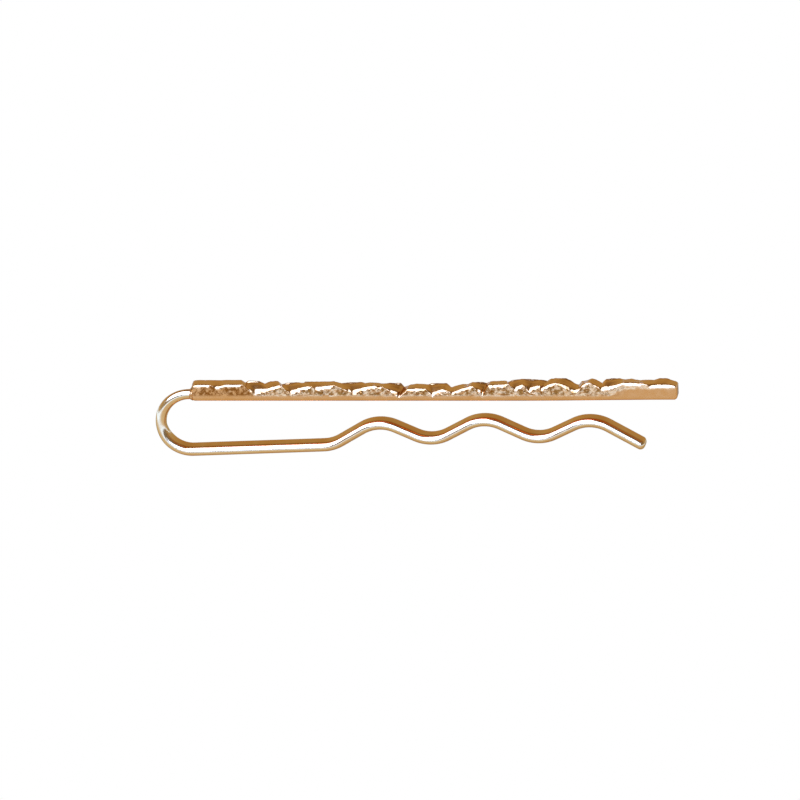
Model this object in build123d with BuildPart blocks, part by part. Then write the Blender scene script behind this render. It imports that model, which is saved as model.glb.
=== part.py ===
"""Sprung hair slide: a cast, crumpled ornament bar with one formed wire brazed into its closed end.

Frame, in millimetres: +X runs along the bar to the open end, +Z is up through the bar's top, and
+Y is across its width. The origin is on the bar's underside, straight above the middle crest of
the leg, where the slide grips the hair.
"""

import os
from math import cos, radians, sin

from build123d import *

os.makedirs("parts", exist_ok=True)

# ---- the ornament bar ----
bar_left = -36.15
bar_right = 24.2
bar_width = 2.1
bar_height = 2.0
bar_corner = 0.35
bar_lower_round = 0.22

# ---- the wire ----
tail_diameter = 1.26
tail_height = 0.42
tail_length = 4.8
leg_width = 2.0
leg_thickness = 1.35
leg_inner_round = 0.22

# ---- the bend and the leg's outline, in the X-Z plane ----
bend_start = -36.67
bend_radius = 3.69
leg_rise = 2.1
wave_radius = 4.5
first_turn = (-19.0, -6.32)
crests = [(-13.2, -2.91), (0.0, -2.49), (13.35, -2.57)]
troughs = [(-6.55, -5.97), (6.75, -5.77)]
leg_tip = (19.6, -6.21)
nose_length = 0.42
nose_taper = 40.0

# ---- the braze bead ----
bead_length = 0.5
bead_spread = 0.24


def half_round(plane, width, thickness, inner_round):
    """Half-round wire's section on a plane: a flat inner side at +Y, a round outer side at -Y."""
    crown = width / 2
    inner = thickness / 2
    shoulder = crown - inner
    with BuildSketch(plane) as section:
        with BuildLine():
            Line((-crown, shoulder), (-crown, inner))
            Line((-crown, inner), (crown, inner))
            Line((crown, inner), (crown, shoulder))
            RadiusArc((crown, shoulder), (-crown, shoulder), crown)
        make_face()
        fillet(section.vertices().group_by(Axis.Y)[-1], inner_round)
    return section.sketch


def across(path, position):
    """Plane square to a path at a share of its length, its +Y towards the inside of the bend."""
    return Plane(origin=path @ position, x_dir=(0, 1, 0), z_dir=path % position)


# ---- centrelines ----
bend_centre = (bend_start, tail_height - bend_radius)
bend_end = (
    bend_start + bend_radius * sin(radians(leg_rise)),
    bend_centre[1] - bend_radius * cos(radians(leg_rise)),
)
outline = [bend_end, first_turn, crests[0], troughs[0], crests[1], troughs[1], crests[2], leg_tip]

with BuildLine(Plane.XZ) as bend_line:
    CenterArc(bend_centre, bend_radius, 90, 180 + leg_rise)

with BuildLine(Plane.XZ) as leg_line:
    FilletPolyline(*outline, radius=wave_radius)

# ---- ornament bar: a cast strip with a crumpled top ----
# The top outline, from the closed end to the open end: flat lumps with notches between them.
top_outline = [
    (bar_left, 1.6),
    (-35.9, 1.95),
    (-30.0, 1.95),
    (-29.2, 1.5),
    (-28.4, 1.8),
    (-27.2, 1.45),
    (-25.6, 1.8),
    (-24.6, 1.4),
    (-21.8, 1.75),
    (-18.4, 1.8),
    (-16.6, 1.45),
    (-13.6, 1.7),
    (-11.6, 1.5),
    (-10.0, 0.95),
    (-8.0, 1.4),
    (-5.2, 1.45),
    (-4.0, 0.85),
    (-1.2, 1.65),
    (0.2, 1.4),
    (2.8, 1.85),
    (4.8, 2.0),
    (7.4, 1.8),
    (9.4, 2.15),
    (10.6, 2.1),
    (11.8, 1.25),
    (13.4, 2.15),
    (14.8, 1.5),
    (16.6, 2.2),
    (19.0, 2.1),
    (20.6, 1.8),
    (22.4, 2.05),
    (23.9, 1.8),
    (bar_right, 1.5),
]
# Each facet is a slanted hollow along both upper edges: place, length, and how deep it bites.
facets = [
    (-28.4, 2.2, 0.5),
    (-25.2, 2.4, 0.4),
    (-22.4, 2.8, 0.45),
    (-17.6, 3.0, 0.35),
    (-14.8, 2.6, 0.4),
    (-11.0, 2.8, 0.5),
    (-7.6, 2.4, 0.3),
    (-4.8, 2.4, 0.3),
    (0.6, 2.2, 0.4),
    (4.2, 2.4, 0.4),
    (6.8, 2.4, 0.4),
    (11.6, 2.6, 0.4),
    (15.0, 2.4, 0.45),
    (20.8, 2.4, 0.3),
]
facet_lean = 9.0

with BuildPart() as ornament_bar:
    with BuildSketch(Plane.XZ):
        with BuildLine():
            Polyline((bar_left, 0), *top_outline, (bar_right, 0), close=True)
        make_face()
    extrude(amount=bar_width / 2, both=True)
    upright_corners = ornament_bar.edges().filter_by(Axis.Z)
    fillet(upright_corners, bar_corner)
    underside_rim = ornament_bar.faces().sort_by(Axis.Z)[0].edges()
    fillet(underside_rim, bar_lower_round)
    for place, length, bite in facets:
        for side in (-1, 1):
            edge = (place, side * bar_width / 2, bar_height)
            with Locations(Location(edge, (side * -45, -facet_lean, 0))):
                Box(length, 2 * bar_height, bite, mode=Mode.SUBTRACT)
    with BuildSketch(Plane.YZ.offset(bar_left)):
        with Locations((0, tail_height)):
            Circle(tail_diameter / 2)
    extrude(amount=tail_length, mode=Mode.SUBTRACT)
ornament_bar.part.label = "ornament_bar"

# ---- wire tail: the round end of the wire, slid into its seat under the bar's closed end ----
with BuildPart() as wire_tail:
    with BuildSketch(Plane.YZ.offset(bend_start)):
        with Locations((0, tail_height)):
            Circle(tail_diameter / 2)
    extrude(amount=bar_left - bend_start + tail_length)
wire_tail.part.label = "wire_tail"

# ---- braze bead: a cone of solder round the wire, against the bar's end ----
with BuildPart() as braze_bead:
    with BuildSketch(Plane.XZ):
        with BuildLine():
            Polyline(
                (bar_left - bead_length, tail_height + tail_diameter / 2),
                (bar_left, tail_height + tail_diameter / 2),
                (bar_left, tail_height + tail_diameter / 2 + bead_spread),
                close=True,
            )
        make_face()
    revolve(axis=Axis((0, 0, tail_height), (1, 0, 0)))
braze_bead.part.label = "braze_bead"

# ---- spring bend: the wire widens from round to half-round as it turns back under the bar ----
bend_foot = half_round(across(bend_line.line, 1), leg_width, leg_thickness, leg_inner_round)
with BuildPart() as spring_bend:
    with BuildSketch(across(bend_line.line, 0)):
        Circle(tail_diameter / 2)
    add(bend_foot)
    sweep(path=bend_line.line, multisection=True)
spring_bend.part.label = "spring_bend"

# ---- wavy leg: straight stretch, three crests, two troughs and a short blunt nose ----
leg_root = half_round(across(leg_line.line, 0), leg_width, leg_thickness, leg_inner_round)
with BuildPart() as wavy_leg:
    add(leg_root)
    sweep(path=leg_line.line)
    leg_end = wavy_leg.faces().sort_by(Axis.X)[-1]
    extrude(leg_end, amount=nose_length, taper=nose_taper)
wavy_leg.part.label = "wavy_leg"

for piece in (ornament_bar, wire_tail, braze_bead, spring_bend, wavy_leg):
    export_step(piece.part, f"parts/{piece.part.label}.step")
    print(piece.part.label, round(piece.part.volume, 2), "mm3")
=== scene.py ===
# %% [markdown]
# # A sprung hair slide in antique gold
# The real slide is two pieces of metal: a cast bar with a crumpled, half-melted top, and one formed
# wire that is brazed into the bar's closed end, turns back under it and grips the hair with its waves.
# The CAD model already says how long, wide and high each of them is, and how the wire opens. Here both
# are given the shape and the metal that the hand and the eye would find.

# %% Load the frame
import math

import bpy
import bmesh
from mathutils import Matrix, Vector, noise


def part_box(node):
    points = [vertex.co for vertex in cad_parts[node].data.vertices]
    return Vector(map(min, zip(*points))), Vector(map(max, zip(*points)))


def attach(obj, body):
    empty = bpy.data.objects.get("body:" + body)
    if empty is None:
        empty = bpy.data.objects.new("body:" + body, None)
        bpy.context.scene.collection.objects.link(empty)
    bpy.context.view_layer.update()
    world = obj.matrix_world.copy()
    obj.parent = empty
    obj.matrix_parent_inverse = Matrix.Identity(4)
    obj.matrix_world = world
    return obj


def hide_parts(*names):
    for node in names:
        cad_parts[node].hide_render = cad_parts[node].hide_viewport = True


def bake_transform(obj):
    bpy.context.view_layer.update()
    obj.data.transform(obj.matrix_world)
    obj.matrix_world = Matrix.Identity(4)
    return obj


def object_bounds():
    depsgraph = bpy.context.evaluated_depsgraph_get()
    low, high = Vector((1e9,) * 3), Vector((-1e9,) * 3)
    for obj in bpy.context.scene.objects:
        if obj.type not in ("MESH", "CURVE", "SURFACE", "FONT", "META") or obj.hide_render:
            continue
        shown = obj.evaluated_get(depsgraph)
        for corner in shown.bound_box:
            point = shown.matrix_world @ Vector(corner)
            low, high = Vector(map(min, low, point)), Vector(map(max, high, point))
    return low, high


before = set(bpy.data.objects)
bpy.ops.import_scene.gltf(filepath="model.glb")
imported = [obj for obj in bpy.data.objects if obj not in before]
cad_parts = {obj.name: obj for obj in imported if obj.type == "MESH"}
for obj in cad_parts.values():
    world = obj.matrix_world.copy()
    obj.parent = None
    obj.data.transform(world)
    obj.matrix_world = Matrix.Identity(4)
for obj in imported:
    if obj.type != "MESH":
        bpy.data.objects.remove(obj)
cad_low, cad_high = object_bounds()
MM = 0.001
print("CAD box in mm:", [round(v / MM, 2) for v in (*cad_low, *cad_high)])

# %% Places taken from the frame
bar_low, bar_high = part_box("ornament_bar")
tail_low, tail_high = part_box("wire_tail")
leg_low, leg_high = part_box("wavy_leg")

# %% [markdown]
# ## Small helpers for working as by hand
# Every operator acts on whatever is selected, so a piece always starts with nothing selected. Once a
# piece has its shape, its doubled points are merged and its faces are turned outwards. Counting the
# faces at each edge then shows whether the shell is closed.


# %% Starting clean
def start_clean():
    """Object mode, with nothing selected."""
    if bpy.context.mode != "OBJECT":
        bpy.ops.object.mode_set(mode="OBJECT")
    bpy.ops.object.select_all(action="DESELECT")


# %% Finishing a mesh
merge_distance = 0.002 * MM
smooth_angle = math.radians(60)


def faces_per_edge(piece):
    """How many faces meet at each edge."""
    shell = bmesh.new()
    shell.from_mesh(piece.data)
    counts = [len(edge.link_faces) for edge in shell.edges]
    shell.free()
    return counts


def finish_mesh(piece):
    """Merge doubles, turn every face outwards and shade it smooth."""
    bpy.ops.object.mode_set(mode="EDIT")
    bpy.ops.mesh.select_mode(type="VERT")
    bpy.ops.mesh.select_all(action="SELECT")
    bpy.ops.mesh.remove_doubles(threshold=merge_distance)
    bpy.ops.mesh.normals_make_consistent(inside=False)
    bpy.ops.object.mode_set(mode="OBJECT")
    bpy.ops.object.shade_smooth_by_angle(angle=smooth_angle)
    open_edges = sum(1 for count in faces_per_edge(piece) if count != 2)
    print(piece.name, len(piece.data.polygons), "faces,", open_edges, "open edges")


# %% Soft ramps
def smooth_step(value, start, end):
    """0 before start, 1 after end, and a soft ramp between."""
    share = min(max((value - start) / (end - start), 0.0), 1.0)
    return share * share * (3 - 2 * share)


# %% [markdown]
# ## The formed wire
# On the real slide this is one length of wire: round and thin where it enters the bar, and rolled to a
# half-round from the middle of the bend to the tip, flat side up towards the bar. The flat's front edge
# is rounder than its back edge, and the flat leans a few degrees to the front. A curve with a bevel
# profile would be the quick way, but its profile cannot change from round to half-round and its ends
# are cut square. So the section is drawn once and then led along the wire: extruded along each
# straight, spun round each turn, and closed to a blunt nose at the tip.


# %% Drawing outlines
def straight(start, end, steps):
    """Points along a line, from its start up to but not including its end."""
    shares = [step / steps for step in range(steps)]
    return [(start[0] + (end[0] - start[0]) * s, start[1] + (end[1] - start[1]) * s) for s in shares]


def arc(centre, radii, start, end, steps):
    """Points round an oval, from the start angle up to but not including the end angle, in degrees."""
    points = []
    for step in range(steps):
        turn = math.radians(start + (end - start) * step / steps)
        points.append((centre[0] + radii[0] * math.cos(turn), centre[1] + radii[1] * math.sin(turn)))
    return points


# %% The half-round section, as points (across, inward) from the middle of the flat round to itself
wire_width = leg_high.y - leg_low.y
wire_thickness = 1.30 * MM
front_edge = 0.70 * MM
back_edge = 0.30 * MM
leg_twist = math.radians(6)


def half_outline(width, thickness, edge):
    """Down one side of the section: flat, rounded edge, oval crown."""
    crown = width / 2
    flat = thickness / 2
    shoulder = flat - edge
    side = straight((0.0, flat), (crown - edge, flat), steps=3)
    side += arc((crown - edge, shoulder), (edge, edge), 90, 0, steps=8)
    side += arc((0.0, shoulder), (crown, thickness - edge), 0, -90, steps=10)
    return side


def half_round_outline(width, thickness, front, back):
    """The whole section: the back side down, the middle of the crown, and the front side up again."""
    front_side = [(-across, inward) for across, inward in half_outline(width, thickness, front)[:0:-1]]
    return half_outline(width, thickness, back) + [(0.0, -thickness / 2)] + front_side


def twisted(points, angle):
    """The section turned a little about its middle, so that its flat side leans to the front."""
    turn = Matrix.Rotation(angle, 2)
    return [tuple(turn @ Vector(point)) for point in points]


wire_outline = half_round_outline(wire_width, wire_thickness, front_edge, back_edge)
wire_section = twisted(wire_outline, leg_twist)
print("wire section of", len(wire_section), "points")

# %% Draw the section at the tail's hidden end
tail_radius = (tail_high.y - tail_low.y) / 2
tail_height = tail_low.z + tail_radius
tail_end = tail_high.x
start_clean()
bpy.ops.mesh.primitive_circle_add(
    vertices=len(wire_section), radius=tail_radius, fill_type="NGON", location=(tail_end, 0, tail_height)
)
wire = bpy.context.object
wire.name = "formed_wire"
bpy.ops.object.transform_apply(location=True, rotation=True, scale=True)
for vertex, (across, inward) in zip(wire.data.vertices, wire_section):
    vertex.co = (tail_end, across, tail_height - inward)
print("tail radius", round(tail_radius / MM, 3), "mm at height", round(tail_height / MM, 3), "mm")


# %% Lead the section along a straight, and round a turn
def lead_straight(start, end, step=0.5 * MM):
    """Extrude the selected end from start to end, both (x, z), in short even steps."""
    run = Vector((end[0] - start[0], 0, end[1] - start[1]))
    steps = max(1, round(run.length / step))
    for _ in range(steps):
        bpy.ops.mesh.extrude_region_move(TRANSFORM_OT_translate={"value": run / steps})


def lead_round(centre, angle, step=4.0):
    """Spin the selected end round a centre (x, z); a positive angle turns it upwards."""
    steps = max(2, round(abs(math.degrees(angle)) / step))
    bpy.ops.mesh.spin(steps=steps, angle=angle, center=(centre[0], 0, centre[1]), axis=(0, 1, 0))


# %% Lead it out of the bar and round the bend
bend_radius = 3.69 * MM
bend_start = tail_low.x
bend_middle = (bend_start, tail_height - bend_radius)
leg_rise = math.radians(2.1)
bpy.ops.object.mode_set(mode="EDIT")
bpy.ops.mesh.select_mode(type="FACE")
bpy.ops.mesh.select_all(action="SELECT")
lead_straight((tail_end, tail_height), (bend_start, tail_height))
lead_round(bend_middle, math.pi + leg_rise)
print("bend round", [round(v / MM, 2) for v in bend_middle])

# %% Follow the leg's corners, in mm, each rounded by the same forming peg
leg_corners = [
    (-19.0, -6.32), (-13.2, -2.91), (-6.55, -5.97), (0.0, -2.49), (6.75, -5.77), (13.35, -2.57),
    (19.6, -6.21),
]
turn_radius = 4.5 * MM
nose_start = 0.28 * MM
place = Vector((
    bend_middle[0] + bend_radius * math.sin(leg_rise), bend_middle[1] - bend_radius * math.cos(leg_rise)
))
corners = [Vector((x * MM, z * MM)) for x, z in leg_corners]
for corner, after in zip(corners, corners[1:]):
    heading = (corner - place).normalized()
    next_heading = (after - corner).normalized()
    turn = math.atan2(heading.x * next_heading.y - heading.y * next_heading.x, heading.dot(next_heading))
    reach = turn_radius * math.tan(abs(turn) / 2)
    turn_start = corner - heading * reach
    side = math.copysign(1.0, turn)
    centre = turn_start + Vector((-heading.y, heading.x)) * turn_radius * side
    lead_straight(place, turn_start)
    lead_round(centre, turn)
    place = corner + next_heading * reach
heading = (corners[-1] - place).normalized()
nose_root = corners[-1] - heading * nose_start
lead_straight(place, nose_root)
print("wire led to", [round(v / MM, 2) for v in nose_root])

# %% Close the tip to a blunt nose
nose_length = 0.62 * MM
nose_steps = 8
nose_sweep = 84
nose_face = 0.22
reached = 0.0
size_before = 1.0
for step in range(1, nose_steps + 1):
    turn = math.radians(nose_sweep * step / nose_steps)
    ahead = nose_length * math.sin(turn)
    size = nose_face + (1 - nose_face) * math.cos(turn)
    move = heading * (ahead - reached)
    bpy.ops.mesh.extrude_region_move(TRANSFORM_OT_translate={"value": (move.x, 0, move.y)})
    middle = nose_root + heading * ahead
    share = size / size_before
    bpy.ops.transform.resize(value=(share, share, share), center_override=(middle.x, 0, middle.y))
    reached = ahead
    size_before = size
bpy.ops.object.mode_set(mode="OBJECT")
wire_reach = max(vertex.co.x for vertex in wire.data.vertices)
print("nose ends at x =", round(wire_reach / MM, 2), "mm, CAD leg at", round(leg_high.x / MM, 2))

# %% [markdown]
# The wire was drawn half-round all the way. On the real slide the tail and the upper half of the bend
# are left round and thin, and the rolling starts with a small kink just past the outermost point of
# the bend. Each point's place in its section is turned towards a circle, fully in the tail and not at
# all past the kink. The circle swells a little round the outermost point, where the wire was pinched.

# %% Bring the tail and the upper bend back to a thin round wire; angles of the bend in degrees
kink_start = 158
kink_end = 226
swell = 0.06 * MM


def swollen_at(angle):
    """How far the round wire swells at an angle of the bend."""
    return swell * smooth_step(angle, 95, 165) * (1 - smooth_step(angle, 205, 255))


for vertex in wire.data.vertices:
    x, across, z = vertex.co
    past_bend = x > bend_middle[0]
    if past_bend and z < tail_low.z - wire_thickness:
        continue
    if past_bend:
        inward = tail_height - z
        out = Vector((0.0, 1.0))
        rolled = 0.0
        swollen = 0.0
        centre_line = Vector((x, tail_height))
    else:
        arm = Vector((x - bend_middle[0], z - bend_middle[1]))
        inward = bend_radius - arm.length
        out = arm.normalized()
        angle = math.degrees(math.atan2(out.y, out.x)) % 360
        rolled = smooth_step(angle, kink_start, kink_end)
        swollen = swollen_at(angle)
        centre_line = Vector(bend_middle) + out * (bend_radius + swollen)
    from_middle = math.hypot(across, inward)
    round_across = across / from_middle * (tail_radius + swollen)
    round_inward = inward / from_middle * (tail_radius + swollen)
    new_across = round_across + (across - round_across) * rolled
    new_inward = round_inward + (inward - round_inward) * rolled
    spot = centre_line - out * new_inward
    vertex.co = (spot.x, new_across, spot.y)
finish_mesh(wire)

# %% [markdown]
# ## The cast bar
# The real bar is a plain strip below and looks half melted above: flat facets lie across it at all
# tilts, with notches between them. Sculpting would do, but it would not be the same twice. So the bar
# is led out as a plain rounded section, cut into fine slices, and its upper part is then pushed to a
# set of cross lines: every ridge and every crease that crosses the bar is one row, with its place and
# height at the front rim and at the back rim. Between two rows the surface is a flat facet.

# %% The ridges and creases across the bar, in mm: front place, front height, back place, back height
cross_lines = [
    (-36.15, 1.80, -36.15, 1.78), (-35.6, 1.92, -35.6, 1.81), (-33.8, 1.92, -34.0, 1.81),
    (-33.4, 1.70, -33.5, 1.81), (-32.7, 1.72, -32.9, 1.80), (-32.0, 1.95, -32.2, 1.81),
    (-29.7, 1.97, -30.3, 1.81), (-28.9, 1.15, -29.8, 1.50), (-28.3, 0.87, -29.4, 1.77),
    (-27.4, 1.15, -28.0, 1.77), (-26.6, 1.38, -27.4, 1.35), (-25.8, 1.62, -26.7, 1.67),
    (-24.9, 1.80, -25.8, 1.75), (-24.3, 1.15, -25.3, 1.27), (-23.8, 0.83, -24.6, 1.50),
    (-22.3, 1.50, -23.4, 1.57), (-21.1, 1.76, -22.6, 1.42), (-20.8, 1.43, -22.3, 1.66),
    (-18.4, 1.87, -18.6, 1.66), (-16.7, 1.15, -17.8, 1.44), (-16.0, 0.96, -16.6, 1.59),
    (-14.6, 1.50, -15.1, 1.59), (-14.0, 1.66, -14.8, 1.42), (-13.3, 1.76, -14.4, 1.50),
    (-12.9, 1.67, -13.3, 1.50), (-12.3, 1.67, -12.6, 1.34), (-11.4, 1.10, -11.6, 1.50),
    (-10.5, 0.42, -10.2, 1.50), (-10.3, 0.44, -9.8, 0.92), (-9.3, 1.37, -9.1, 1.20),
    (-8.4, 1.42, -8.25, 1.37), (-7.6, 1.43, -7.4, 1.32), (-6.9, 1.34, -6.8, 1.25),
    (-6.3, 0.55, -6.5, 1.45), (-5.6, 0.95, -5.8, 1.46), (-4.9, 1.24, -4.5, 1.45),
    (-4.3, 1.15, -3.9, 0.84), (-3.7, 0.87, -3.5, 1.07), (-2.6, 1.35, -2.5, 1.33),
    (-1.9, 1.60, -1.9, 1.22), (-1.1, 1.76, -1.4, 1.57), (-0.1, 0.76, -0.1, 1.66),
    (0.15, 0.79, 0.5, 1.50), (0.9, 1.90, 1.0, 1.67), (1.5, 1.85, 1.8, 1.70),
    (3.45, 1.98, 2.7, 1.74), (3.9, 1.50, 3.0, 1.58), (4.4, 1.43, 3.6, 1.87),
    (5.3, 1.90, 4.8, 2.01), (5.6, 1.35, 5.6, 2.01), (6.0, 1.26, 6.4, 2.01),
    (7.0, 1.70, 7.2, 1.92), (7.4, 1.43, 8.1, 1.75), (8.3, 1.80, 8.55, 2.07),
    (9.1, 2.13, 9.5, 2.10), (9.9, 1.70, 10.4, 2.13), (10.9, 1.30, 10.9, 1.87),
    (11.5, 1.24, 11.6, 1.30), (11.9, 1.24, 11.95, 1.22), (12.5, 1.80, 12.2, 1.66),
    (13.1, 2.18, 13.0, 1.76), (13.5, 2.10, 13.6, 2.10), (14.2, 1.70, 14.1, 1.93),
    (14.8, 1.50, 14.8, 1.48), (15.4, 1.55, 15.3, 2.00), (15.9, 1.50, 16.25, 2.12),
    (17.0, 1.95, 17.1, 2.07), (17.6, 2.20, 17.5, 1.89), (18.6, 2.18, 18.5, 1.96),
    (19.7, 2.15, 19.45, 1.74), (20.1, 2.08, 20.4, 1.83), (20.8, 1.85, 21.4, 1.83),
    (21.7, 1.87, 21.9, 2.06), (22.5, 1.93, 23.0, 2.06), (23.4, 1.90, 23.5, 1.80),
    (24.2, 1.80, 24.2, 1.56),
]
print(len(cross_lines), "ridges and creases")

# %% The plain section before the facets are pushed in
bar_half = (bar_high.y - bar_low.y) / 2
bar_top = 2.2 * MM
lower_round = 0.22 * MM
rim_round = 0.42 * MM


def bar_outline():
    """Points (y, z) of the plain section, from the middle of the underside round to itself."""
    lower_corner = bar_half - lower_round
    rim_corner = bar_half - rim_round
    right = straight((0.0, 0.0), (lower_corner, 0.0), steps=5)
    right += arc((lower_corner, lower_round), (lower_round, lower_round), -90, 0, steps=5)
    right += straight((bar_half, lower_round), (bar_half, bar_top - rim_round), steps=14)
    right += arc((rim_corner, bar_top - rim_round), (rim_round, rim_round), 0, 90, steps=8)
    right += straight((rim_corner, bar_top), (0.0, bar_top), steps=8)
    left = [(-y, z) for y, z in right[:0:-1]]
    return right + [(0.0, bar_top)] + left


bar_section = bar_outline()
print("bar section of", len(bar_section), "points")

# %% Draw the section at the closed end
left_overhang = 0.12 * MM
right_overhang = 0.08 * MM
end_left = bar_low.x - left_overhang
end_right = bar_high.x + right_overhang
start_clean()
bpy.ops.mesh.primitive_circle_add(
    vertices=len(bar_section), radius=bar_half, fill_type="NGON", location=(0, 0, 0)
)
bar = bpy.context.object
bar.name = "cast_bar"
bpy.ops.object.transform_apply(location=True, rotation=True, scale=True)
for vertex, (y, z) in zip(bar.data.vertices, bar_section):
    vertex.co = (end_left, y, z)
print("bar from", round(end_left / MM, 2), "to", round(end_right / MM, 2), "mm")

# %% Places along the bar where its section is set, and how far it is drawn in there
end_round = 0.38 * MM
end_steps = 5
end_sizes = []
for step in range(end_steps + 1):
    turn = math.radians(90 * step / end_steps)
    end_sizes.append((end_round * (1 - math.cos(turn)), end_round * (1 - math.sin(turn))))
stations = [(end_left + along, inset) for along, inset in end_sizes]
stations += [(end_right - along, inset) for along, inset in reversed(end_sizes)]
print(len(stations), "sections along the bar")

# %% Lead the section out from end to end
section_middle = bar_top / 2


def shrink_to(x, inset, inset_before):
    """Bring the selected ring in from one inset to another, the same amount on every side."""
    across = (bar_half - inset) / (bar_half - inset_before)
    height = (section_middle - inset) / (section_middle - inset_before)
    bpy.ops.transform.resize(value=(1, across, height), center_override=(x, 0, section_middle))


bpy.ops.object.mode_set(mode="EDIT")
bpy.ops.mesh.select_mode(type="FACE")
bpy.ops.mesh.select_all(action="SELECT")
shrink_to(end_left, end_round, 0.0)
for (x, inset), (new_x, new_inset) in zip(stations, stations[1:]):
    bpy.ops.mesh.extrude_region_move(TRANSFORM_OT_translate={"value": (new_x - x, 0, 0)})
    shrink_to(new_x, new_inset, inset)


# %% Slice the long stretch finely, in two rounds
def select_long_edges(piece, shortest):
    """In edit mode, select only the edges that run further along the bar than the shortest."""
    bpy.ops.mesh.select_mode(type="EDGE")
    bpy.ops.mesh.select_all(action="DESELECT")
    cage = bmesh.from_edit_mesh(piece.data)
    for edge in cage.edges:
        start, end = edge.verts
        if abs(start.co.x - end.co.x) > shortest:
            edge.select_set(True)
    cage.select_flush_mode()
    bmesh.update_edit_mesh(piece.data)


for cuts in (99, 4):
    select_long_edges(bar, 0.3 * MM)
    bpy.ops.mesh.subdivide(number_cuts=cuts)
bpy.ops.object.mode_set(mode="OBJECT")
print("plain bar:", len(bar.data.vertices), "points")

# %% Where each facet lies
rim_rise = 0.07 * MM
back_rise = 0.15 * MM
fullness = 1.3
middles = [(row[0] + row[2]) / 2 * MM for row in cross_lines]


def facet_at(x, across):
    """Where a point of the plain bar goes: its new x, and the bar's height there."""
    index = 0
    while index < len(middles) - 2 and middles[index + 1] < x:
        index += 1
    share = (x - middles[index]) / (middles[index + 1] - middles[index])
    before = cross_lines[index]
    after = cross_lines[index + 1]
    front_x, front_z, back_x, back_z = (a + (b - a) * share for a, b in zip(before, after))
    front_z = front_z * MM + rim_rise
    back_z = back_z * MM + back_rise
    if back_z > front_z:
        rise = 1 - (1 - across) ** fullness
    else:
        rise = across ** fullness
    return (front_x + (back_x - front_x) * across) * MM, front_z + (back_z - front_z) * rise


# %% Where the plain strip ends, and how round the rim is
strip_height = 0.52 * MM
ripple_height = 0.06 * MM
ripple_length = 1.5 * MM
left_plain = 1.5 * MM
right_plain = 0.95 * MM
rim_reach = 0.22 * MM
sharpest = 0.2


def band_foot(x):
    """Height where the plain strip ends and the leaning, crumpled band begins; high at both ends."""
    ripple = ripple_height * noise.noise(Vector((x / ripple_length, 0, 0)))
    left_end = left_plain * (1 - smooth_step(x, -29.3 * MM, -28.3 * MM))
    right_end = right_plain * smooth_step(x, 15.5 * MM, 18.5 * MM)
    return strip_height + ripple + left_end + right_end


def rim_share(x):
    """How much of the rim's rounding is left at x: all of it where the rim climbs, little where it falls."""
    climb = (facet_at(x + rim_reach, 0.0)[1] - facet_at(x - rim_reach, 0.0)[1]) / (2 * rim_reach)
    return sharpest + (1 - sharpest) * smooth_step(climb, -0.28, -0.02)


# %% Push the facets in
plain_height = 0.35 * MM
rim_start = bar_top - rim_round
back_rim_round = 0.22 * MM
underside_sag = 0.14 * MM
lean = math.tan(math.radians(6))
band_edge = 0.2 * MM
coarse_size = 0.9 * MM
coarse_push = 0.018 * MM
fine_size = 0.3 * MM
fine_push = 0.032 * MM


def crumpled(point):
    """Where a point of the plain bar ends up."""
    x, y, z = point
    across = min(max((y + bar_half) / (2 * bar_half), 0.0), 1.0)
    new_x, height = facet_at(x, across)
    squeeze = rim_share(x) if y < 0 else back_rim_round / rim_round
    if z > rim_start:
        new_z = height - (bar_top - z) * squeeze
        spread = (bar_half - abs(y)) * (1 - squeeze) * smooth_step(abs(y), 0, 0.4 * bar_half)
        y += math.copysign(spread, y)
    elif z > plain_height:
        rim_now = height - rim_round * squeeze
        new_z = plain_height + (z - plain_height) * (rim_now - plain_height) / (rim_start - plain_height)
    else:
        new_z = z - underside_sag * (1 - z / plain_height) * (1 - smooth_step(x, 5 * MM, 24 * MM))
    foot = band_foot(new_x)
    outward = min(1.0, abs(y) / bar_half)
    new_y = y - math.copysign(lean * max(0.0, new_z - foot) * outward, y)
    spot = Vector((new_x, new_y, new_z))
    in_band = smooth_step(new_z, foot, foot + band_edge) * outward ** 2
    coarse = noise.fractal(spot / coarse_size, 1.0, 2.0, 3)
    fine = noise.fractal(spot / fine_size, 1.0, 2.0, 2)
    lifted = smooth_step(z, plain_height, bar_top)
    push = coarse_push * coarse * lifted + fine_push * in_band * fine
    return spot.x, spot.y * (1 + push / bar_half), spot.z + push * lifted


for vertex in bar.data.vertices:
    vertex.co = crumpled(vertex.co)
finish_mesh(bar)

# %% [markdown]
# ## The brazed joint
# Silver solder crept round the wire where it meets the bar and froze in small lumps. A ring of
# metaballs would melt together nicely, but it is simpler to start from a ball, flatten it against the
# bar's end and push its surface into lumps.

# %% Make the lumps of braze
bead_low, bead_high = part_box("braze_bead")
bead_shift = 0.1 * MM
bead_middle = Vector(((bead_high.x + bead_low.x) / 2 + bead_shift, 0, tail_height))
lump_size = 0.45 * MM
lump_place = Vector((3.0, 1.0, 7.0))
lump_height = 0.16
start_clean()
bpy.ops.mesh.primitive_uv_sphere_add(segments=40, ring_count=24, radius=1.0, location=bead_middle)
bead = bpy.context.object
bead.name = "braze_lumps"
bead.scale = (0.42 * MM, 0.86 * MM, 0.78 * MM)
bpy.ops.object.transform_apply(location=True, rotation=True, scale=True)
for vertex in bead.data.vertices:
    arm = vertex.co - bead_middle
    lump = noise.noise(vertex.co / lump_size + lump_place)
    vertex.co = bead_middle + arm * (1 + lump_height * lump)
finish_mesh(bead)

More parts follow.
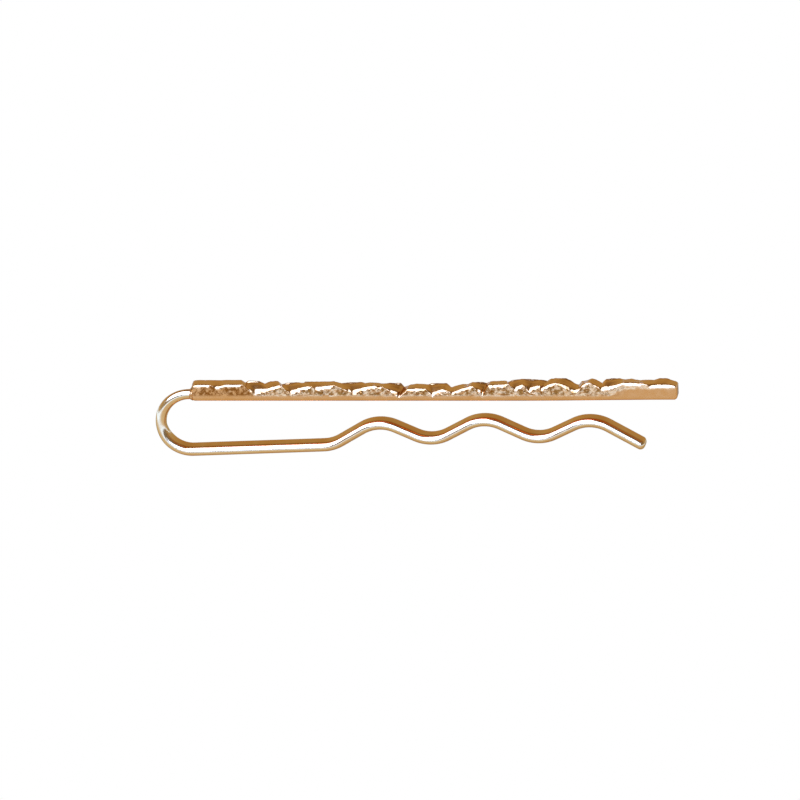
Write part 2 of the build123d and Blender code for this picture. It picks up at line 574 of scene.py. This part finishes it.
# %% [markdown]
# ## Antique gold
# The metal is plated gold over brass, darkened and then rubbed bright. Its colour drifts a little from
# place to place, and painted shade makes it deeper on faces that point up or down than on the sides.
# Fine grain breaks the polish, and dark patina is left in the crumpled sides of the bar. A painted
# texture could hold all of this, but it would have to be painted again for each piece. So tone with its
# painted shade, patina and grain are node groups that read the piece, and each material places them
# with its own values.


# %% Helpers for wiring shader nodes
def feed(tree, source, socket):
    """Link another node's output to a socket, or set a plain value on it."""
    if isinstance(source, bpy.types.NodeSocket):
        tree.links.new(source, socket)
    else:
        socket.default_value = source


def add_noise(tree, place, scale, detail, roughness=0.5):
    """Noise that reads a place; gives its strength."""
    node = tree.nodes.new("ShaderNodeTexNoise")
    feed(tree, place, node.inputs["Vector"])
    feed(tree, scale, node.inputs["Scale"])
    feed(tree, detail, node.inputs["Detail"])
    feed(tree, roughness, node.inputs["Roughness"])
    return node.outputs["Fac"]


def add_range(tree, value, start, end, low=0.0, high=1.0, kind="LINEAR"):
    """Gives low where the value is at start, high where it is at end, and a ramp between."""
    node = tree.nodes.new("ShaderNodeMapRange")
    node.interpolation_type = kind
    feed(tree, value, node.inputs["Value"])
    feed(tree, start, node.inputs["From Min"])
    feed(tree, end, node.inputs["From Max"])
    feed(tree, low, node.inputs["To Min"])
    feed(tree, high, node.inputs["To Max"])
    return node.outputs["Result"]


# %% More helpers: sums, mixes and parts of a vector
def add_math(tree, operation, first, second=0.0, clamp=False):
    """A sum of two values."""
    node = tree.nodes.new("ShaderNodeMath")
    node.operation = operation
    node.use_clamp = clamp
    feed(tree, first, node.inputs[0])
    feed(tree, second, node.inputs[1])
    return node.outputs["Value"]


def add_mix(tree, share, first, second):
    """A mix of two colours: the first where the share is 0, the second where it is 1."""
    node = tree.nodes.new("ShaderNodeMix")
    node.data_type = "RGBA"
    feed(tree, share, node.inputs["Factor"])
    feed(tree, first, node.inputs["A"])
    feed(tree, second, node.inputs["B"])
    return node.outputs["Result"]


def part_of(tree, vector, axis):
    """One part of a vector: X, Y or Z."""
    node = tree.nodes.new("ShaderNodeSeparateXYZ")
    feed(tree, vector, node.inputs["Vector"])
    return node.outputs[axis]


# %% Helpers for node groups
def new_group(name, inputs, outputs):
    """An empty shader node group with the named sockets; returns the group and its two end nodes."""
    group = bpy.data.node_groups.new(name, "ShaderNodeTree")
    for socket_name, kind, value in inputs:
        socket = group.interface.new_socket(name=socket_name, in_out="INPUT", socket_type=kind)
        socket.default_value = value
    for socket_name, kind in outputs:
        group.interface.new_socket(name=socket_name, in_out="OUTPUT", socket_type=kind)
    start = group.nodes.new("NodeGroupInput")
    end = group.nodes.new("NodeGroupOutput")
    return group, start, end


def place_group(tree, group, **values):
    """Place a node group in a material, with the material's own values on its named inputs."""
    node = tree.nodes.new("ShaderNodeGroup")
    node.node_tree = group
    for socket_name, value in values.items():
        node.inputs[socket_name].default_value = value
    return node


# %% Tone: slow drifts of colour from deep to bright gold, and painted shade: deeper where faces point up or down
tone, tone_in, tone_out = new_group(
    "gold_tone_and_painted_shade",
    [("Deep", "NodeSocketColor", (0.3, 0.12, 0.02, 1)), ("Bright", "NodeSocketColor", (0.9, 0.5, 0.2, 1)),
     ("Scale", "NodeSocketFloat", 500.0), ("Painted Shade", "NodeSocketFloat", 0.7)],
    [("Color", "NodeSocketColor")],
)
place = tone.nodes.new("ShaderNodeTexCoord").outputs["Object"]
normal = tone.nodes.new("ShaderNodeNewGeometry").outputs["Normal"]
drift = add_noise(tone, place, tone_in.outputs["Scale"], 4.0, 0.6)
drift_share = add_range(tone, drift, 0.3, 0.7, low=0.55)
# Painted shade: faces that point up or down take the deep colour, and the sides take the bright one.
flatness = add_math(tone, "ABSOLUTE", part_of(tone, normal, "Z"))
painted_shade_share = add_range(tone, flatness, 0.35, 0.9, high=tone_in.outputs["Painted Shade"])
tone_and_shade_share = add_math(tone, "SUBTRACT", drift_share, painted_shade_share, clamp=True)
toned = add_mix(tone, tone_and_shade_share, tone_in.outputs["Deep"], tone_in.outputs["Bright"])
feed(tone, toned, tone_out.inputs["Color"])
print(tone.name, "of", len(tone.nodes), "nodes")

# %% Patina: dark specks left in the crumpled sides, above a height and away from the worn tops
patina, patina_in, patina_out = new_group(
    "dark_patina",
    [("Scale", "NodeSocketFloat", 2400.0), ("Height", "NodeSocketFloat", 0.45 * MM)],
    [("Mask", "NodeSocketFloat")],
)
place = patina.nodes.new("ShaderNodeTexCoord").outputs["Object"]
normal = patina.nodes.new("ShaderNodeNewGeometry").outputs["Normal"]
specks = add_noise(patina, place, patina_in.outputs["Scale"], 5.0, 0.65)
above = add_math(patina, "SUBTRACT", part_of(patina, place, "Z"), patina_in.outputs["Height"])
mask = add_range(patina, specks, 0.43, 0.56)
limits = (
    add_range(patina, part_of(patina, normal, "Z"), 0.75, 0.3),
    add_range(patina, above, 0.0, 0.3 * MM),
    add_range(patina, part_of(patina, place, "X"), 18 * MM, 14.5 * MM),
)
for limit in limits:
    mask = add_math(patina, "MULTIPLY", mask, limit)
feed(patina, mask, patina_out.inputs["Mask"])
print(patina.name, "of", len(patina.nodes), "nodes")

# %% Grain: the fine tooth of a cast or drawn surface, for bump and polish
polish_scale = 900.0
grain, grain_in, grain_out = new_group(
    "metal_grain",
    [("Scale", "NodeSocketFloat", 6000.0), ("Stretch", "NodeSocketVector", (1, 1, 1)),
     ("Smooth", "NodeSocketFloat", 0.12), ("Rough", "NodeSocketFloat", 0.3)],
    [("Height", "NodeSocketFloat"), ("Roughness", "NodeSocketFloat")],
)
place = grain.nodes.new("ShaderNodeTexCoord").outputs["Object"]
stretched = grain.nodes.new("ShaderNodeVectorMath")
stretched.operation = "MULTIPLY"
feed(grain, place, stretched.inputs[0])
feed(grain, grain_in.outputs["Stretch"], stretched.inputs[1])
tooth = add_noise(grain, stretched.outputs["Vector"], grain_in.outputs["Scale"], 3.0)
polish = add_noise(grain, place, polish_scale, 5.0)
polished = add_range(grain, polish, 0.3, 0.7, low=grain_in.outputs["Smooth"], high=grain_in.outputs["Rough"])
feed(grain, tooth, grain_out.inputs["Height"])
feed(grain, polished, grain_out.inputs["Roughness"])
print(grain.name, "of", len(grain.nodes), "nodes")

# %% Gold for each piece
edge_tint = (0.78, 0.76, 0.55, 1)


def gold(name, deep, bright, smooth, rough, stretch, bump, dark=None):
    """A gold material: tone and painted shade for colour, grain for polish and bump, and patina if a dark
    colour is given.
    """
    material = bpy.data.materials.new(name)
    material.use_nodes = True
    tree = material.node_tree
    shader = tree.nodes["Principled BSDF"]
    shader.inputs["Metallic"].default_value = 1.0
    shader.inputs["Specular Tint"].default_value = edge_tint
    colour = place_group(tree, tone, Deep=(*deep, 1), Bright=(*bright, 1)).outputs["Color"]
    if dark is not None:
        colour = add_mix(tree, place_group(tree, patina).outputs["Mask"], colour, (*dark, 1))
    surface = place_group(tree, grain, Stretch=stretch, Smooth=smooth, Rough=rough)
    bumps = tree.nodes.new("ShaderNodeBump")
    bumps.inputs["Distance"].default_value = bump
    feed(tree, surface.outputs["Height"], bumps.inputs["Height"])
    feed(tree, colour, shader.inputs["Base Color"])
    feed(tree, surface.outputs["Roughness"], shader.inputs["Roughness"])
    feed(tree, bumps.outputs["Normal"], shader.inputs["Normal"])
    print(material.name, "with roughness", smooth, "to", rough)
    return material


# %% Give each piece its gold
deep_gold = (0.88, 0.35, 0.062)
bright_gold = (0.92, 0.42, 0.10)
dark_gold = (0.36, 0.105, 0.009)
pale_gold = (0.98, 0.60, 0.19)
deep_braze = (0.62, 0.24, 0.04)
bright_braze = (0.80, 0.36, 0.08)
even = (1, 1, 1)
drawn = (0.15, 1, 1)
cast_gold = gold("cast_gold", deep_gold, bright_gold, 0.14, 0.26, even, 0.004 * MM, dark_gold)
wire_gold = gold("wire_gold", deep_gold, pale_gold, 0.12, 0.20, drawn, 0.002 * MM)
braze_gold = gold("braze_gold", deep_braze, bright_braze, 0.24, 0.38, even, 0.006 * MM)
for piece, material in ((bar, cast_gold), (wire, wire_gold), (bead, braze_gold)):
    piece.data.materials.clear()
    piece.data.materials.append(material)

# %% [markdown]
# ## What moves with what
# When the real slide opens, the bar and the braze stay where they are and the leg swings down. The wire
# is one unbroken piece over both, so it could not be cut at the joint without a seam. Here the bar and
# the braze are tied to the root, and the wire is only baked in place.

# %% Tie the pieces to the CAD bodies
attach(bar, "root")
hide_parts("ornament_bar")
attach(bead, "root")
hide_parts("braze_bead")
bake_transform(wire)
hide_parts("wire_tail", "spring_bend", "wavy_leg")

# %% [markdown]
# ## Floor and light
# A small bright metal thing shows its surroundings more than itself. Two round softboxes, one to the
# left and one in front, draw the white streaks along the rims and the wire. The paper on the floor glows:
# plain white where the eye looks straight at it, but in what the metal mirrors it holds a painted shadow
# under the slide, a tan ring in front and a painted pool of light far out, which give the brown, tan and
# cream stretches. Gold swallows blue, and under white light its highlights come back yellow, so the
# lights and the glow are tinted towards blue.


# %% One look for the eye and another for the mirror
def seen_and_mirrored(tree, seen, mirrored):
    """A mix of two shaders: one where the eye looks straight at it, one for everything else."""
    path = tree.nodes.new("ShaderNodeLightPath")
    mixed = tree.nodes.new("ShaderNodeMixShader")
    feed(tree, path.outputs["Is Camera Ray"], mixed.inputs["Fac"])
    feed(tree, mirrored.outputs[0], mixed.inputs[1])
    feed(tree, seen.outputs[0], mixed.inputs[2])
    return mixed.outputs[0]


# %% The paper's glow, by distance from a spot behind the slide: a painted shadow near it, a painted pool of light far out
tan_from = 0.295
tan_to = 0.35
cream_from = 0.395
cream_to = 0.62
painted_shadow_glow = (0.47, 0.48, 0.58, 1)
tan_glow = (0.62, 0.72, 1.1, 1)
painted_light_glow = (1.0, 1.9, 6.5, 1)
paper = bpy.data.materials.new("paper_with_painted_glow")
paper.use_nodes = True
paper_tree = paper.node_tree
paper_tree.nodes.remove(paper_tree.nodes["Principled BSDF"])
paper_place = paper_tree.nodes.new("ShaderNodeTexCoord")
paper_shape = paper_tree.nodes.new("ShaderNodeMapping")
paper_shape.inputs["Location"].default_value = (-0.032, -0.3, 0)
paper_shape.inputs["Scale"].default_value = (1.6, 1, 1)
paper_length = paper_tree.nodes.new("ShaderNodeVectorMath")
paper_length.operation = "LENGTH"
feed(paper_tree, paper_place.outputs["Object"], paper_shape.inputs["Vector"])
feed(paper_tree, paper_shape.outputs["Vector"], paper_length.inputs[0])
paper_distance = paper_length.outputs["Value"]
# Painted shadow: the mirrored glow is dim brown near the slide. Painted light: it turns cream far out.
in_front = add_range(paper_tree, paper_distance, tan_from, tan_to, kind="SMOOTHSTEP")
far_out = add_range(paper_tree, paper_distance, cream_from, cream_to, kind="SMOOTHSTEP")
near_glow = add_mix(paper_tree, in_front, painted_shadow_glow, tan_glow)
paper_glow = add_mix(paper_tree, far_out, near_glow, painted_light_glow)
print(paper.name, "turns tan at", tan_from, "and cream at", cream_from, "m")

# %% Floor
paper_seen = paper_tree.nodes.new("ShaderNodeEmission")
paper_mirrored = paper_tree.nodes.new("ShaderNodeEmission")
feed(paper_tree, paper_glow, paper_mirrored.inputs["Color"])
paper_mixed = seen_and_mirrored(paper_tree, paper_seen, paper_mirrored)
feed(paper_tree, paper_mixed, paper_tree.nodes["Material Output"].inputs["Surface"])
start_clean()
floor_size = 6.0
floor_drop = 30 * MM
bpy.ops.mesh.primitive_plane_add(size=floor_size, location=(0, 0, cad_low.z - floor_drop))
floor = bpy.context.object
floor.name = "floor"
floor.data.materials.append(paper)
print("floor at", round(floor.location.z / MM, 2), "mm")


# %% Softboxes
def softbox(name, towards, distance, size, power, tint):
    """A round area light out in a direction from the slide, facing it."""
    light = bpy.data.lights.new(name, "AREA")
    light.shape = "DISK"
    light.size = size
    light.energy = power
    light.color = tint
    holder = bpy.data.objects.new(name, light)
    bpy.context.scene.collection.objects.link(holder)
    away = Vector(towards).normalized()
    holder.location = away * distance
    holder.rotation_euler = away.to_track_quat("Z", "Y").to_euler()
    print(name, "at", [round(v, 2) for v in holder.location], "m")


light_tint = (0.11, 0.22, 0.92)
softbox("left_softbox", (-0.45, -0.45, 0.77), 0.8, 0.92, 44.0, light_tint)
softbox("front_softbox", (0.05, -0.84, 0.54), 0.8, 0.78, 31.0, light_tint)

# %% The room's brightness: paler low down, dimmer overhead, and brighter behind the slide than in front
world = bpy.data.worlds.new("studio")
world.use_nodes = True
bpy.context.scene.world = world
room = world.node_tree
room_place = room.nodes.new("ShaderNodeTexCoord").outputs["Generated"]
room_ramp = room.nodes.new("ShaderNodeValToRGB")
room_ramp.color_ramp.elements[0].position = 0.0
room_ramp.color_ramp.elements[0].color = (0.50, 0.53, 0.62, 1)
room_ramp.color_ramp.elements[1].position = 0.95
room_ramp.color_ramp.elements[1].color = (0.22, 0.21, 0.20, 1)
room_ramp.color_ramp.elements.new(0.42).color = (0.47, 0.50, 0.58, 1)
feed(room, part_of(room, room_place, "Z"), room_ramp.inputs["Fac"])
room_side = room.nodes.new("ShaderNodeVectorMath")
room_side.operation = "DOT_PRODUCT"
room_side.inputs[1].default_value = (-0.15, 0.36, 0)
feed(room, room_place, room_side.inputs[0])
room_level = add_math(room, "ADD", room_side.outputs["Value"], 0.75)
print(world.name, "of", len(room.nodes), "nodes")

# %% The room
room_seen = room.nodes["Background"]
room_seen.inputs["Color"].default_value = (1, 1, 1, 1)
room_mirrored = room.nodes.new("ShaderNodeBackground")
feed(room, room_ramp.outputs["Color"], room_mirrored.inputs["Color"])
feed(room, room_level, room_mirrored.inputs["Strength"])
room_mixed = seen_and_mirrored(room, room_seen, room_mirrored)
feed(room, room_mixed, room.nodes["World Output"].inputs["Surface"])
bpy.context.scene.view_settings.view_transform = "Standard"
print("the eye sees the room white")

# %% [markdown]
# ## Camera
# A small thing is best looked at through a long lens, which keeps its far end as large as its near one.
# It looks from a little above, turned slightly round from straight in front, and is rolled so that the
# bar lies level in the frame. A camera could be aimed with a constraint, but its three directions are
# worked out here from the three angles, so the roll is plain to see.

# %% Camera
azimuth = math.radians(9)
elevation = math.radians(20)
roll = math.radians(3.1)
lens = 500.0
sensor = 36.0
frame_width = 98.8 * MM
aim = Vector((-10.35, 0, -0.36)) * MM
distance = frame_width * lens / sensor
back = Vector((
    math.sin(azimuth) * math.cos(elevation),
    -math.cos(azimuth) * math.cos(elevation),
    math.sin(elevation),
))
level = Vector((math.cos(azimuth), math.sin(azimuth), 0))
upright = back.cross(level)
right = level * math.cos(roll) - upright * math.sin(roll)
up = level * math.sin(roll) + upright * math.cos(roll)
camera_data = bpy.data.cameras.new("camera")
camera_data.lens = lens
camera_data.sensor_width = sensor
camera_data.clip_start = 0.01
camera_data.clip_end = 20.0
camera = bpy.data.objects.new("camera", camera_data)
bpy.context.scene.collection.objects.link(camera)
camera.matrix_world = Matrix((
    (right.x, up.x, back.x, aim.x + back.x * distance),
    (right.y, up.y, back.y, aim.y + back.y * distance),
    (right.z, up.z, back.z, aim.z + back.z * distance),
    (0, 0, 0, 1),
))
bpy.context.scene.camera = camera
print("camera", round(distance, 3), "m away")
